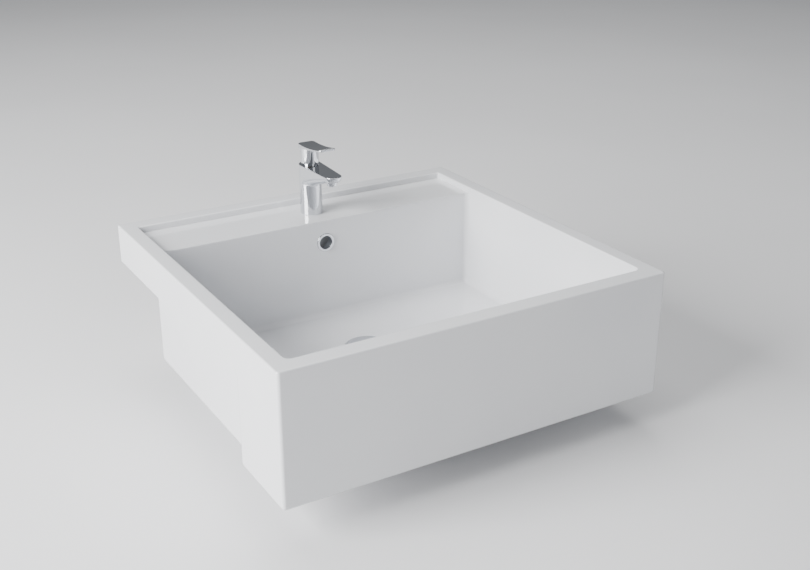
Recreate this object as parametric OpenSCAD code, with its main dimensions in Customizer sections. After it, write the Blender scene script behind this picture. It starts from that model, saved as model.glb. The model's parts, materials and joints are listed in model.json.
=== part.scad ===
// Semi-recessed square basin with a single-lever mixer, an overflow ring and a click-clack waste.
// Millimetres. +Z is up and the front faces -Y. The origin is the middle of the back rest strip,
// on the plane of the worktop that carries the basin.

/* [Basin] */
// Width of the basin
basin_w = 600; // [520:1:760]
// Depth of the basin, front to back
basin_d = 586; // [530:1:710]
// Height of the rim above the worktop
slab_h = 59.5; // [54:0.5:80]
// How far the front apron hangs below the worktop
apron_drop = 131.5; // [120:0.5:170]
// Depth of the apron, front to back
apron_d = 127; // [80:1:200]
// Radius of the outer upright corners
corner_r = 4; // [2:0.5:8]

/* [Rim and bowl] */
// Width of the left and right rims
rim_side = 25.5; // [22:0.5:40]
// Width of the front rim
rim_front = 28; // [22:0.5:45]
// Width of the back rim
rim_back = 28.5; // [22:0.5:45]
// Step from the rim down to the tap ledge
ledge_drop = 10; // [4:0.5:14]
// Depth of the tap ledge, front to back
ledge_d = 95; // [88:1:120]
// Thickness of the ledge
deck_t = 13; // [10:0.5:16]
// Depth of the bowl below the rim
bowl_depth = 174.5; // [150:0.5:210]
// Thickness of the floor
floor_t = 16.5; // [14:0.5:22]
// Thickness of the bowl's walls
wall_t = 11; // [9:0.5:14]
// Radius of the bowl's upright corners
bowl_r = 8; // [4:0.5:20]
// Width of the back strip that rests on the worktop
rest_back = 14; // [10:0.5:20]
// Fall of the floor to the waste
floor_fall = 3; // [1:0.5:5]
// Radius of the dished part of the floor
dish_r = 125; // [80:1:130]

/* [Waste] */
// Distance from the bowl's back wall to the waste
waste_from_back = 133.5; // [132:0.5:180]
// Outer diameter of the waste flange
flange_d = 68; // [64:0.5:74]
// Diameter of the waste tail's thread, nominal G 1 1/4
tail_d = 41.91; // [38:0.01:51]
// Wall of the waste tail
tail_wall = 2.4; // [1.8:0.1:3]
// Length of the tail below the basin
tail_drop = 39; // [30:1:60]
// Height of the flange
flange_h = 5.5; // [5:0.1:7]
// Thickness of the washer under the flange
flange_seal_t = 1; // [0.6:0.1:1.5]
// Thickness of the boss under the waste seat
boss_t = 23; // [21:0.5:30]
// Outer diameter of the boss
boss_d = 88; // [80:1:110]
// Thickness of the tapered washer under the boss
under_seal_t = 3; // [2:0.5:5]
// Height of the backnut
backnut_h = 9; // [6:0.5:12]
// Wall of the backnut, across its flats
backnut_wall = 6; // [5:0.5:8]

/* [Plug] */
// Rise of the plug when open
plug_lift = 8; // [5:0.5:10]
// Height of the cap's dome
plug_dome_h = 3.3; // [2:0.1:5]
// Thickness of the cap's edge
plug_edge_t = 2.2; // [1.5:0.1:3]
// Thickness of the plug's rubber ring
plug_seal_t = 2; // [1:0.1:3]

/* [Overflow] */
// Depth of the overflow's centre below the rim
overflow_drop = 47.5; // [45:0.5:52]
// Hole through the overflow ring
ring_bore_d = 22; // [18:0.5:27]
// How far the ring covers the wall round its hole
ring_cover = 2.3; // [1.5:0.1:4]
// Width of the duct in the basin
duct_w = 44; // [34:1:60]
// Depth of the upright duct behind the wall
duct_deep = 10; // [8:0.5:12]
// Height of the duct under the floor
duct_h = 11; // [9:0.5:11]
// Wall of the duct
duct_wall = 7; // [6:0.5:8]

/* [Tap body] */
// Diameter of the cartridge
cartridge_d = 25; // [24:0.5:30]
// Wall of the column round the cartridge's nut
column_wall = 4; // [3:0.5:8]
// Height of the flat top above the ledge
head_h = 82.5; // [80:0.5:99]
// Distance from the tap's axis to the middle of the spout's nose
nose_reach = 78.5; // [70:0.5:110]
// Radius of the spout's nose
nose_r = 14; // [13:0.5:17]
// Diameter of the aerator's collar
aerator_d = 16; // [15:0.5:18]
// Hole in the ledge for the tap
tap_hole_d = 30; // [29.5:0.5:36]

/* [Handle] */
// Wall of the handle's round skirt
skirt_wall = 1.85; // [1.5:0.05:3]
// Gap between the body's flat top and the skirt
skirt_gap = 2.7; // [2.5:0.1:4]
// Height of the skirt up to the lever
skirt_h = 20.8; // [20:0.1:26]
// Thickness of the lever over the tap's axis
lever_t = 8.6; // [8:0.1:11]
// Width of the lever plate
lever_w = 29; // [20:0.5:35]
// Length of the lever in front of the tap's axis
lever_reach = 66; // [45:1:90]
// How far the lever tilts up to open
tilt_max = 22; // [15:1:22]
// Slope of the lever's underside
lever_slope = 8.8; // [6:0.1:9.5]
// Radius of the lever's dished top, seen from the side
lever_top_r = 298; // [250:1:500]

/* [Hidden] */
$fn = 96;
e = 1;                        // how far a cut runs past the face that it opens
run_gap = 0.05;               // radial gap of a pin or shaft that turns in its bore
thread_gap = 0.05;            // radial gap of a thread, drawn as a plain cylinder
seat_gap = 0.2;               // radial gap of a piece that drops into its seat
free_gap = 0.4;               // gap between pieces that pass each other
slide_gap = 0.3;              // gap above and below a piece that turns or slides

// basin: places along each axis
back_y = rest_back / 2;
front_y = back_y - basin_d;
bowl_front_y = front_y + rim_front;
ledge_back_y = back_y - rim_back;
bowl_back_y = ledge_back_y - ledge_d;
half_w = basin_w / 2;
bowl_hw = half_w - rim_side;
shell_hw = bowl_hw + wall_t;
shell_back_y = bowl_back_y + wall_t;
deck_z = slab_h - ledge_drop;
floor_z = slab_h - bowl_depth;
shell_low_z = floor_z - floor_t;

// waste: heights
waste_y = bowl_back_y - waste_from_back;
waste_clear = 2;              // radial room round the tail in its hole
waste_hole_d = tail_d + 2 * waste_clear;
backnut_flats = tail_d + 2 * backnut_wall;
drain_z = floor_z - floor_fall;
seat_depth = 5;
seat_z = drain_z - seat_depth;
seat_r = flange_d / 2 + 2 * free_gap;
boss_low_z = seat_z - boss_t;
flange_low_z = seat_z + flange_seal_t;
flange_top_z = flange_low_z + flange_h;
flange_t = 2.5;
flange_lip = 2.4;
flange_edge = 1;
seat_bevel = 2;
tail_low_z = boss_low_z - tail_drop;
tail_bore_r = tail_d / 2 - tail_wall;
plug_seat_z = flange_low_z + flange_t;
plug_low_z = plug_seat_z + plug_seal_t;
plug_d = flange_d - 2 * (flange_lip + 2 * free_gap);
plug_seal_w = 4.5;
plug_seal_inset = 1.3;
nut_low_z = boss_low_z - under_seal_t - backnut_h;
under_seal_flare = 4;         // taper of the washer under the boss, across its width
groove_w = 1.5;
groove_deep = 0.6;
slot_w = 12;
slot_h = 10;
slot_below_seat = 4;
slot_top_z = seat_z - slot_below_seat;
spider_t = 4;
spider_w = 5;
spider_z = boss_low_z - spider_t;
spider_top_z = spider_z + spider_t;
click_boss_r = 6.5;
click_screw_r = 4;
click_r = 8.5;
click_bore_r = 5;
click_floor_t = 1.2;
click_guide = 10.5;           // length that still guides the stem when the plug is up
click_h = plug_lift + click_guide;
click_top_z = spider_top_z + click_h;
stem_r = click_bore_r - run_gap;
stem_bore_r = 3.7;
stem_stop = 4;                // room under the stem when the plug is down
stem_low_z = spider_top_z + click_floor_t + stem_stop;
stem_top_t = 4;
spring_wire_d = 0.8;
spring_r = stem_bore_r - spring_wire_d / 2 - seat_gap;
spring_turns = 9;
spring_low_z = spider_top_z + click_floor_t;
spring_top_z = plug_low_z - stem_top_t;
spring_sides = 6;
spring_steps = 14;            // rings in each turn of the spring

// overflow: heights and places
overflow_z = slab_h - overflow_drop;
ring_t = 2.2;
ring_lip = 0.8;
ring_sleeve_t = 1.8;
overflow_hole_d = ring_bore_d + 2 * (ring_sleeve_t + seat_gap);
ring_d = overflow_hole_d + 2 * ring_cover;
duct_roof = 2;
duct_top_z = overflow_z + overflow_hole_d / 2 + duct_roof;
casing_roof = 4;
casing_top_z = duct_top_z + casing_roof;
duct_above_slot = 1;
duct_high_z = slot_top_z + duct_above_slot;
duct_low_z = duct_high_z - duct_h;

// tap: places seen from the tap's axis on the ledge
tap_y = bowl_back_y + ledge_d / 2;
base_chamfer = 0.8;
spigot_clear = 0.6;
spigot_r = tap_hole_d / 2 - spigot_clear;
spigot_h = 5;
base_seal_w = 1.5;
base_seal_t = 1.3;
base_seal_land = 0.55;        // ledge left between the hole and the seal
base_seal_in_r = tap_hole_d / 2 + base_seal_land;
base_seal_out_r = base_seal_in_r + base_seal_w;
cart_r = cartridge_d / 2;
nut_wall = 1.5;
nut_thread_r = cart_r + nut_wall;
base_edge = 0.15;             // flat left between the seal's groove and the chamfer
column_r = max(nut_thread_r + column_wall, base_seal_out_r + base_edge + base_chamfer);
inlet_x = 7.2;
inlet_y = -4;
inlet_r = 4.5;                // wall of an M10 x 1 thread
inlet_deep = 12;
stud_r = 4;                   // M8
stud_wall = 0.35;
stud_y = spigot_r - stud_r - thread_gap - stud_wall;
stud_in = 12;
stud_spare = 23.7;            // thread left under the fixing nut
gasket_t = 2;
plate_t = 1.8;
fixing_nut_h = 6.5;
fixing_nut_flats = 13;
nut_top_h = -deck_t - gasket_t - plate_t;
nut_bottom_h = nut_top_h - fixing_nut_h;
stud_low_h = nut_bottom_h - stud_spare;
plate_over = 7;               // how far the plate reaches past the tap's hole
plate_r = tap_hole_d / 2 + plate_over;
hose_room = 1.9;
plate_wall = 3;               // metal left between the slot and the stud
plate_slot_hw = inlet_x + inlet_r + hose_room;
plate_slot_y = stud_y - stud_r - plate_wall;
plate_slot_r = 3;

// spout
seat_deep = 25.5;             // cartridge's seat below the flat top
seat_h = head_h - seat_deep;
side_inset = 0.8;
side_r = column_r - side_inset;         // half the spout's width beside the column
side_taper = asin((side_r - nose_r) / nose_reach);
aerator_back = 3;             // aerator's axis behind the middle of the nose
spout_reach = nose_reach - aerator_back;
outlet_below = 12;            // aerator's face below the flat top
outlet_h = head_h - outlet_below;
outlet_r = 9.5;
root_below = 32.5;            // where the keel leaves the column, below the flat top
keel_start = [-column_r, head_h - root_below];
keel_slope = atan2(outlet_h - keel_start[1], spout_reach - column_r);
keel_hw = 4;
chine_slope = 38;             // rise of the underside from keel to side
aerator_thread_step = 0.5;
aerator_thread_r = aerator_d / 2 - aerator_thread_step;
aerator_thread_h = 4;
aerator_collar_h = 4.5;
aerator_wall = 1.5;
aerator_bore_r = aerator_thread_r - aerator_wall;
aerator_insert_in = 1;
aerator_hole_r = 0.8;
aerator_rows = [[1.9, 6], [4, 11]];     // radius of each ring of holes and their number
aerator_washer_t = 1.2;
aerator_washer_w = 2;
outlet_room = 4;              // height of the chamber above the aerator's washer
way_r = 2.8;                  // waterway that rises from the cartridge
way_out_r = 3;                // level waterway on to the outlet
elbow_deep = 19;
elbow_h = seat_h - elbow_deep;
knee_reach = 50;
way_h = outlet_h + aerator_thread_h + aerator_washer_t + 1;

// cartridge: heights above the ledge, radii from its outside
seal_h = 1.6;
seal_proud = 0.3;
base_t = 4.2;
base_top_h = seat_h + base_t;
fixed_t = 3.2;
moving_t = 3;
moving_low_h = base_top_h + fixed_t;
carrier_low_h = moving_low_h + moving_t;
carrier_t = 3.8;
carrier_top_h = carrier_low_h + carrier_t;
fixed_r = cart_r - 1.9;
moving_r = cart_r - 3.1;
moving_pocket_y = 4;
moving_pocket_r = 4.2;
port_r = 2.3;
port_wall = 1.4;
port_seal_w = 1.3;
port_ring = fixed_r - port_r - port_wall;
port_at = [for (turn = [90, -30, 210]) port_ring * [cos(turn), sin(turn)]];
housing_in_r = cart_r - 1.3;
guide_r = cart_r - 4.5;
guide_flange_r = cart_r - 1.8;
guide_flange_t = 2.2;
guide_low_h = carrier_top_h + slide_gap;
housing_lid_t = 2.5;
lid_low_h = guide_low_h + guide_flange_t + slide_gap;
housing_top_h = lid_low_h + housing_lid_t;
housing_seal_d = 1.2;
housing_seal_h = base_top_h + 3;
housing_seal_fn = 32;
guide_proud = 3.5;
guide_top_h = housing_top_h + guide_proud;
pivot_h = housing_top_h - 0.5;          // height of the lever's pivot
ball_r = 2.3;
ball_gap = 0.25;
ball_h = carrier_low_h + ball_r + slide_gap;
disc_travel = (pivot_h - ball_h) * tilt_max * PI / 180;
disc_rest_y = disc_travel / 2;
neck_r = 1.4;
spindle_w = 6;
spindle_heel = 3;             // how far the square part reaches below the pivot
pin_r = 1.5;
pin_half = guide_r - 0.6;
slot_hw = spindle_w / 2 + 0.1;
slot_hd = guide_r - 1.4;
nut_grip = 2.3;               // depth of the nut's recess over the housing
nut_low_h = housing_top_h - nut_grip;
nut_flange_t = 1;
nut_collar_r = cart_r - 0.1;
nut_collar_h = skirt_gap - free_gap;
nut_bore_r = cart_r - 3.5;

// handle
skirt_clear = 0.5;
skirt_in_r = nut_collar_r + skirt_clear;
skirt_r = skirt_in_r + skirt_wall;
skirt_low_h = head_h + skirt_gap;
lever_back_h = skirt_low_h + skirt_h;
lever_top = lever_back_h + lever_t;
spindle_top_h = lever_back_h - 3;
socket_r = 6.2;
socket_low_h = skirt_low_h + 4.8;
socket_end_gap = 0.2;
socket_gap = 0.05;
cavity_top_h = spindle_top_h + 0.6;
screw_h = (socket_low_h + spindle_top_h) / 2;
screw_r = 2.5;
screw_len = 7.5;
screw_hex_d = 2.9;
screw_hex_deep = 2.5;
screw_boss_r = 4.6;
cover_r = 3.2;
cover_t = 1.2;
cover_y = skirt_r - cover_t - slide_gap;
lever_corner_r = 6;
lever_zone_h = 22;            // tall enough to hold the whole lever plate
lever_top_fn = 4 * $fn;
heel_clear = 0.4;             // gap left over the flat top when the lever is up

module block(low, high) {
    translate(low)
        cube(high - low);
}

module round_rect(x_half, y_low, y_high, r) {
    translate([-x_half, y_low + r])
        square([2 * x_half, y_high - y_low - 2 * r]);
    translate([r - x_half, y_low])
        square([2 * (x_half - r), y_high - y_low]);
    for (x = [r - x_half, x_half - r], y = [y_low + r, y_high - r])
        translate([x, y])
            circle(r);
}

module prism(x_half, y_low, y_high, z_low, z_high, r) {
    translate([0, 0, z_low])
        linear_extrude(z_high - z_low)
            round_rect(x_half, y_low, y_high, r);
}

module disc(r, z_low, z_high) {
    translate([0, 0, z_low])
        cylinder(r = r, h = z_high - z_low);
}

module ring(r_out, r_in, z_low, z_high) {
    difference() {
        disc(r_out, z_low, z_high);
        disc(r_in, z_low - e, z_high + e);
    }
}

module at_tap() {
    translate([0, tap_y, deck_z])
        children();
}

module at_waste() {
    translate([0, waste_y, 0])
        children();
}

// a bar of radius r from one point to another
module bar(r, start, end) {
    run = end - start;
    translate(start)
        rotate([0, acos(run[2] / norm(run)), atan2(run[1], run[0])])
            cylinder(r = r, h = norm(run));
}

// basin

module slab_and_pocket() {
    difference() {
        prism(half_w, front_y, back_y, 0, slab_h, corner_r);
        block([-shell_hw, shell_back_y, -e], [shell_hw, back_y - rest_back, deck_z - deck_t]);
    }
}

module duct_casing() {
    casing_hw = duct_w / 2 + duct_wall;
    casing_back_y = shell_back_y + duct_deep + duct_wall;
    block([-casing_hw, shell_back_y - e, boss_low_z], [casing_hw, casing_back_y, casing_top_z]);
    block([-casing_hw, waste_y, boss_low_z], [casing_hw, casing_back_y, shell_low_z + e]);
}

module duct_way() {
    duct_back_y = shell_back_y + duct_deep;
    block([-duct_w / 2, shell_back_y, duct_low_z], [duct_w / 2, duct_back_y, duct_top_z]);
    block([-duct_w / 2, waste_y, duct_low_z], [duct_w / 2, duct_back_y, duct_high_z]);
    translate([0, bowl_back_y - e, overflow_z])
        rotate([-90, 0, 0])
            cylinder(d = overflow_hole_d, h = wall_t + 2 * e);
}

module floor_dish() {
    rise = floor_fall * (dish_r + e - seat_r) / (dish_r - seat_r);
    at_waste() {
        translate([0, 0, drain_z])
            cylinder(r1 = seat_r, r2 = dish_r + e, h = rise);
        disc(seat_r, seat_z, drain_z + e);
        disc(waste_hole_d / 2, boss_low_z - e, seat_z + e);
    }
}

module basin() {
    color("white")
        difference() {
            union() {
                slab_and_pocket();
                prism(half_w, front_y, front_y + apron_d, -apron_drop, slab_h, corner_r);
                prism(shell_hw, bowl_front_y, shell_back_y, shell_low_z, deck_z,
                    bowl_r + wall_t);
                at_waste()
                    disc(boss_d / 2, boss_low_z, shell_low_z + e);
                duct_casing();
            }
            prism(bowl_hw, bowl_front_y, bowl_back_y, floor_z, slab_h + e, bowl_r);
            block([-bowl_hw, bowl_back_y - bowl_r, deck_z], [bowl_hw, ledge_back_y, slab_h + e]);
            floor_dish();
            duct_way();
            at_tap()
                disc(tap_hole_d / 2, -deck_t - e, e);
        }
}

module overflow_ring() {
    sleeve_r = overflow_hole_d / 2 - seat_gap;
    color("gainsboro")
        translate([0, bowl_back_y, overflow_z])
            rotate([-90, 0, 0])
                rotate_extrude()
                    polygon([[ring_bore_d / 2, -ring_t], [ring_d / 2 - ring_lip, -ring_t],
                        [ring_d / 2, ring_lip - ring_t], [ring_d / 2, 0], [sleeve_r, 0],
                        [sleeve_r, wall_t], [ring_bore_d / 2, wall_t]]);
}

// waste

module waste_body() {
    r = flange_d / 2;
    tail_r = tail_d / 2;
    color("gainsboro")
        at_waste() {
            difference() {
                rotate_extrude()
                    polygon([[tail_bore_r, tail_low_z], [tail_r, tail_low_z],
                        [tail_r, nut_low_z - groove_w], [tail_r - groove_deep, nut_low_z - groove_w],
                        [tail_r - groove_deep, nut_low_z], [tail_r, nut_low_z],
                        [tail_r, flange_low_z], [r, flange_low_z], [r, flange_top_z - flange_edge],
                        [r - flange_edge, flange_top_z], [r - flange_lip, flange_top_z],
                        [r - flange_lip, plug_seat_z], [tail_bore_r + seat_bevel, plug_seat_z],
                        [tail_bore_r, plug_seat_z - seat_bevel]]);
                for (turn = [45, 135])
                    rotate(turn)
                        block([-r, -slot_w / 2, slot_top_z - slot_h], [r, slot_w / 2, slot_top_z]);
            }
            difference() {
                union() {
                    block([-tail_bore_r - tail_wall / 2, -spider_w / 2, spider_z],
                        [tail_bore_r + tail_wall / 2, spider_w / 2, spider_top_z]);
                    disc(click_boss_r, spider_z, spider_top_z);
                }
                disc(click_screw_r + thread_gap, spider_z - e, spider_top_z + e);
            }
        }
}

module waste_flange_seal() {
    color("dimgray")
        at_waste()
            ring(flange_d / 2, waste_hole_d / 2, seat_z, flange_low_z);
}

module waste_under_seal() {
    color("dimgray")
        at_waste()
            difference() {
                translate([0, 0, boss_low_z - under_seal_t])
                    cylinder(d1 = backnut_flats, d2 = backnut_flats + under_seal_flare, h = under_seal_t);
                disc(tail_d / 2 + seat_gap, boss_low_z - under_seal_t - e, boss_low_z + e);
            }
}

module waste_backnut() {
    color("silver")
        at_waste()
            difference() {
                translate([0, 0, nut_low_z])
                    cylinder(d = backnut_flats / cos(30), h = backnut_h, $fn = 6);
                disc(tail_d / 2 + thread_gap, nut_low_z - e, nut_low_z + backnut_h + e);
            }
}

module plug_cap() {
    r = plug_d / 2;
    ball = (r * r + plug_dome_h * plug_dome_h) / (2 * plug_dome_h);
    edge_z = plug_low_z + plug_edge_t;
    color("gainsboro")
        at_waste()
            rotate_extrude() {
                translate([0, plug_low_z])
                    square([r, plug_edge_t]);
                intersection() {
                    translate([0, plug_low_z])
                        square([r, plug_edge_t + plug_dome_h + e]);
                    translate([0, edge_z + plug_dome_h - ball])
                        circle(ball, $fn = 4 * $fn);
                }
            }
}

module plug_seal() {
    r = plug_d / 2 - plug_seal_inset;
    color("dimgray")
        at_waste()
            ring(r, r - plug_seal_w, plug_seat_z, plug_low_z);
}

module plug_stem() {
    color("silver")
        at_waste()
            difference() {
                disc(stem_r, stem_low_z, plug_low_z);
                disc(stem_bore_r, stem_low_z - e, plug_low_z - stem_top_t);
            }
}

module click_body() {
    color("whitesmoke")
        at_waste()
            difference() {
                union() {
                    disc(click_r, spider_top_z, click_top_z);
                    disc(click_screw_r, spider_z - spider_t, spider_top_z + e);
                }
                disc(click_bore_r, spider_top_z + click_floor_t, click_top_z + e);
            }
}

function spring_point(i, j) =
    let (turn = 360 * i / spring_steps,
        side = 360 * j / spring_sides,
        r = spring_r + spring_wire_d / 2 * cos(side),
        low = spring_low_z + spring_wire_d / 2,
        high = spring_top_z - spring_wire_d / 2,
        z = low + (high - low) * i / (spring_turns * spring_steps))
    [r * cos(turn), r * sin(turn), z + spring_wire_d / 2 * sin(side)];

module click_spring() {
    rings = spring_turns * spring_steps;
    n = spring_sides;
    skin = [for (i = [0:rings - 1], j = [0:n - 1])
        [i * n + j, i * n + (j + 1) % n, (i + 1) * n + (j + 1) % n, (i + 1) * n + j]];
    color("silver")
        at_waste()
            polyhedron(
                points = [for (i = [0:rings], j = [0:n - 1]) spring_point(i, j)],
                faces = concat([[for (j = [n - 1:-1:0]) j]],
                    [for (f = skin) [f[0], f[1], f[2]]],
                    [for (f = skin) [f[0], f[2], f[3]]],
                    [[for (j = [0:n - 1]) rings * n + j]]));
}

// tap body and its fixings

module spout_plan() {
    taper = [cos(side_taper), -sin(side_taper)];
    back = side_r * taper;
    front = [0, -nose_reach] + nose_r * taper;
    translate([0, -nose_reach])
        circle(nose_r);
    polygon([back, front, [-front[0], front[1]], [-back[0], back[1]]]);
}

// seen along the spout: a narrow keel, then sides that rise like a boat's
module boat_section() {
    width = 2 * column_r;
    rise = (width - keel_hw) * tan(chine_slope);
    height = 2 * head_h;
    polygon([[-keel_hw, 0], [keel_hw, 0], [width, rise], [width, height],
        [-width, height], [-width, rise]]);
}

module spout_shape() {
    length = column_r + nose_reach + nose_r;
    intersection() {
        linear_extrude(head_h)
            spout_plan();
        translate([0, keel_start[0], keel_start[1]])
            rotate([90 - keel_slope, 0, 0])
                translate([0, 0, -column_r])
                    linear_extrude(length + column_r)
                        boat_section();
    }
}

module inlet_way(side) {
    translate([side * inlet_x, inlet_y, 0])
        disc(inlet_r, -spigot_h - e, inlet_deep - spigot_h);
    translate([side * port_at[1][0], port_at[1][1], 0])
        disc(port_r, inlet_deep - spigot_h - e, seat_h + e);
}

module outlet_way() {
    translate([0, port_ring, 0])
        disc(port_r, elbow_h, seat_h + e);
    bar(way_r, [0, port_ring, elbow_h], [0, -knee_reach, way_h]);
    bar(way_out_r, [0, way_out_r - knee_reach, way_h], [0, -spout_reach, way_h]);
}

module outlet_bore() {
    washer_top_h = outlet_h + aerator_thread_h + aerator_washer_t;
    translate([0, -spout_reach, 0]) {
        disc(aerator_d / 2 + free_gap, outlet_h - outlet_below, outlet_h);
        disc(aerator_thread_r + thread_gap, outlet_h - e, washer_top_h);
        disc(aerator_bore_r, outlet_h, washer_top_h + outlet_room);
    }
}

module tap_body() {
    color("gainsboro")
        at_tap()
            difference() {
                union() {
                    disc(column_r, base_chamfer, head_h);
                    cylinder(r1 = column_r - base_chamfer, r2 = column_r, h = base_chamfer);
                    disc(spigot_r, -spigot_h, e);
                    spout_shape();
                    translate([0, -spout_reach, 0])
                        disc(outlet_r, outlet_h, head_h - outlet_room);
                }
                inlet_way(-1);
                inlet_way(1);
                outlet_way();
                outlet_bore();
                disc(cart_r + seat_gap / 2, seat_h, head_h + e);
                disc(nut_thread_r + thread_gap, nut_low_h, head_h + e);
                translate([0, stud_y, 0])
                    disc(stud_r + thread_gap, -spigot_h - e, stud_in - spigot_h);
                ring(base_seal_out_r, base_seal_in_r, -e, base_seal_t);
            }
}

module base_seal() {
    color("dimgray")
        at_tap()
            ring(base_seal_out_r, base_seal_in_r, 0, base_seal_t);
}

module fixing_stud() {
    color("silver")
        at_tap()
            translate([0, stud_y, 0])
                disc(stud_r, stud_low_h, stud_in - spigot_h);
}

module horseshoe(z_low, z_high) {
    at_tap()
        difference() {
            disc(plate_r, z_low, z_high);
            prism(plate_slot_hw, -2 * plate_r, plate_slot_y, z_low - e, z_high + e, plate_slot_r);
            translate([0, stud_y, 0])
                disc(stud_r + seat_gap, z_low - e, z_high + e);
        }
}

module fixing_gasket() {
    color("dimgray")
        horseshoe(-deck_t - gasket_t, -deck_t);
}

module fixing_washer() {
    color("silver")
        horseshoe(nut_top_h, -deck_t - gasket_t);
}

module fixing_nut() {
    color("goldenrod")
        at_tap()
            translate([0, stud_y, 0])
                difference() {
                    translate([0, 0, nut_bottom_h])
                        cylinder(d = fixing_nut_flats / cos(30), h = fixing_nut_h, $fn = 6);
                    disc(stud_r + thread_gap, nut_bottom_h - e, nut_top_h + e);
                }
}

// aerator

module at_outlet() {
    translate([0, tap_y - spout_reach, deck_z + outlet_h])
        children();
}

module aerator_collar() {
    color("gainsboro")
        at_outlet()
            difference() {
                union() {
                    disc(aerator_d / 2, -aerator_collar_h, 0);
                    disc(aerator_thread_r, -e, aerator_thread_h);
                }
                disc(aerator_bore_r, -aerator_collar_h - e, aerator_thread_h + e);
            }
}

module aerator_insert() {
    low = aerator_insert_in - aerator_collar_h;
    color("whitesmoke")
        at_outlet()
            difference() {
                disc(aerator_bore_r - seat_gap / 2, low, aerator_thread_h);
                for (row = aerator_rows, i = [1:row[1]])
                    rotate(360 * i / row[1])
                        translate([row[0], 0, 0])
                            disc(aerator_hole_r, low - e, aerator_thread_h + e);
            }
}

module aerator_washer() {
    color("dimgray")
        at_outlet()
            ring(aerator_thread_r, aerator_thread_r - aerator_washer_w, aerator_thread_h,
                aerator_thread_h + aerator_washer_t);
}

// cartridge

module ports(r, z_low, z_high) {
    for (at = port_at)
        translate([at[0], at[1], 0])
            disc(r, z_low, z_high);
}

module cartridge_base() {
    color("whitesmoke")
        at_tap()
            difference() {
                disc(cart_r, seat_h + seal_proud, base_top_h);
                ports(port_r + port_seal_w, seat_h - e, seat_h + seal_h);
                ports(port_r, seat_h, base_top_h + e);
            }
}

module port_seals() {
    color("dimgray")
        at_tap()
            difference() {
                ports(port_r + port_seal_w, seat_h, seat_h + seal_h);
                ports(port_r, seat_h - e, base_top_h);
            }
}

module housing_groove() {
    translate([cart_r, housing_seal_h])
        circle(d = housing_seal_d, $fn = housing_seal_fn);
}

module cartridge_housing() {
    color("whitesmoke")
        at_tap()
            difference() {
                union() {
                    disc(cart_r, base_top_h, nut_low_h);
                    disc(cart_r - nut_flange_t, nut_low_h - e, housing_top_h);
                }
                disc(housing_in_r, base_top_h - e, lid_low_h);
                disc(guide_r + run_gap, lid_low_h - e, housing_top_h + e);
                rotate_extrude()
                    housing_groove();
            }
}

module housing_seal() {
    color("dimgray")
        at_tap()
            rotate_extrude()
                intersection() {
                    housing_groove();
                    square([cart_r + seat_gap / 2, head_h]);
                }
}

module fixed_disc() {
    color("white")
        at_tap()
            difference() {
                disc(fixed_r, base_top_h, moving_low_h);
                ports(port_r, base_top_h - e, moving_low_h + e);
            }
}

module moving_disc() {
    color("white")
        at_tap()
            translate([0, disc_rest_y, 0])
                difference() {
                    disc(moving_r, moving_low_h, carrier_low_h);
                    translate([0, moving_pocket_y, 0])
                        disc(moving_pocket_r, moving_low_h - e, moving_low_h + moving_t / 2);
                }
}

module disc_carrier() {
    color("whitesmoke")
        at_tap()
            difference() {
                translate([0, disc_rest_y, 0])
                    disc(moving_r, carrier_low_h, carrier_top_h);
                disc(ball_r + ball_gap, carrier_low_h - e, carrier_top_h + e);
            }
}

module spindle_guide() {
    color("whitesmoke")
        at_tap()
            difference() {
                union() {
                    disc(guide_r, guide_low_h, guide_top_h);
                    disc(guide_flange_r, guide_low_h, guide_low_h + guide_flange_t);
                }
                block([-slot_hw, -slot_hd, guide_low_h - e], [slot_hw, slot_hd, guide_top_h + e]);
                translate([-guide_r, 0, pivot_h])
                    rotate([0, 90, 0])
                        cylinder(r = pin_r, h = 2 * guide_r);
            }
}

module spindle_pin() {
    color("silver")
        at_tap()
            translate([-pin_half, 0, pivot_h])
                rotate([0, 90, 0])
                    cylinder(r = pin_r, h = 2 * pin_half);
}

module spindle() {
    w = spindle_w / 2;
    color("silver")
        at_tap()
            difference() {
                union() {
                    block([-w, -w, pivot_h - spindle_heel], [w, w, spindle_top_h]);
                    disc(neck_r, ball_h, pivot_h);
                    translate([0, 0, ball_h])
                        sphere(ball_r);
                }
                translate([-w - e, 0, pivot_h])
                    rotate([0, 90, 0])
                        cylinder(r = pin_r + run_gap, h = 2 * (w + e));
            }
}

module retaining_nut() {
    color("gainsboro")
        at_tap()
            difference() {
                union() {
                    disc(nut_thread_r, nut_low_h, head_h);
                    disc(nut_collar_r, head_h - e, head_h + nut_collar_h);
                }
                disc(nut_bore_r, nut_low_h - e, head_h + nut_collar_h + e);
                disc(cart_r - nut_flange_t + thread_gap, nut_low_h - e, housing_top_h);
            }
}

// handle

module lever_plate() {
    intersection() {
        translate([0, 0, lever_top - lever_zone_h / 2])
            linear_extrude(lever_zone_h)
                round_rect(lever_w / 2, -lever_reach, skirt_r, lever_corner_r);
        translate([0, skirt_r, lever_back_h])
            rotate([-lever_slope, 0, 0])
                block([-lever_w, -2 * lever_reach, 0], [lever_w, lever_w, lever_zone_h]);
    }
}

// the skirt's back edge is cut so that it clears the flat top when the lever is up
module heel_cut() {
    translate([0, 0, pivot_h])
        rotate([tilt_max, 0, 0])
            block([-2 * skirt_r, 0, -2 * skirt_r],
                [2 * skirt_r, 2 * skirt_r, head_h - pivot_h + heel_clear]);
}

module spindle_socket() {
    hw = spindle_w / 2 + socket_gap;
    block([-hw, -hw, socket_low_h - e], [hw, hw, spindle_top_h + socket_end_gap]);
}

module screw_bore() {
    translate([0, 0, screw_h])
        rotate([-90, 0, 0]) {
            cylinder(r = screw_r + thread_gap, h = skirt_r + e);
            translate([0, 0, cover_y])
                cylinder(r = cover_r + socket_gap, h = skirt_r);
        }
}

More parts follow.
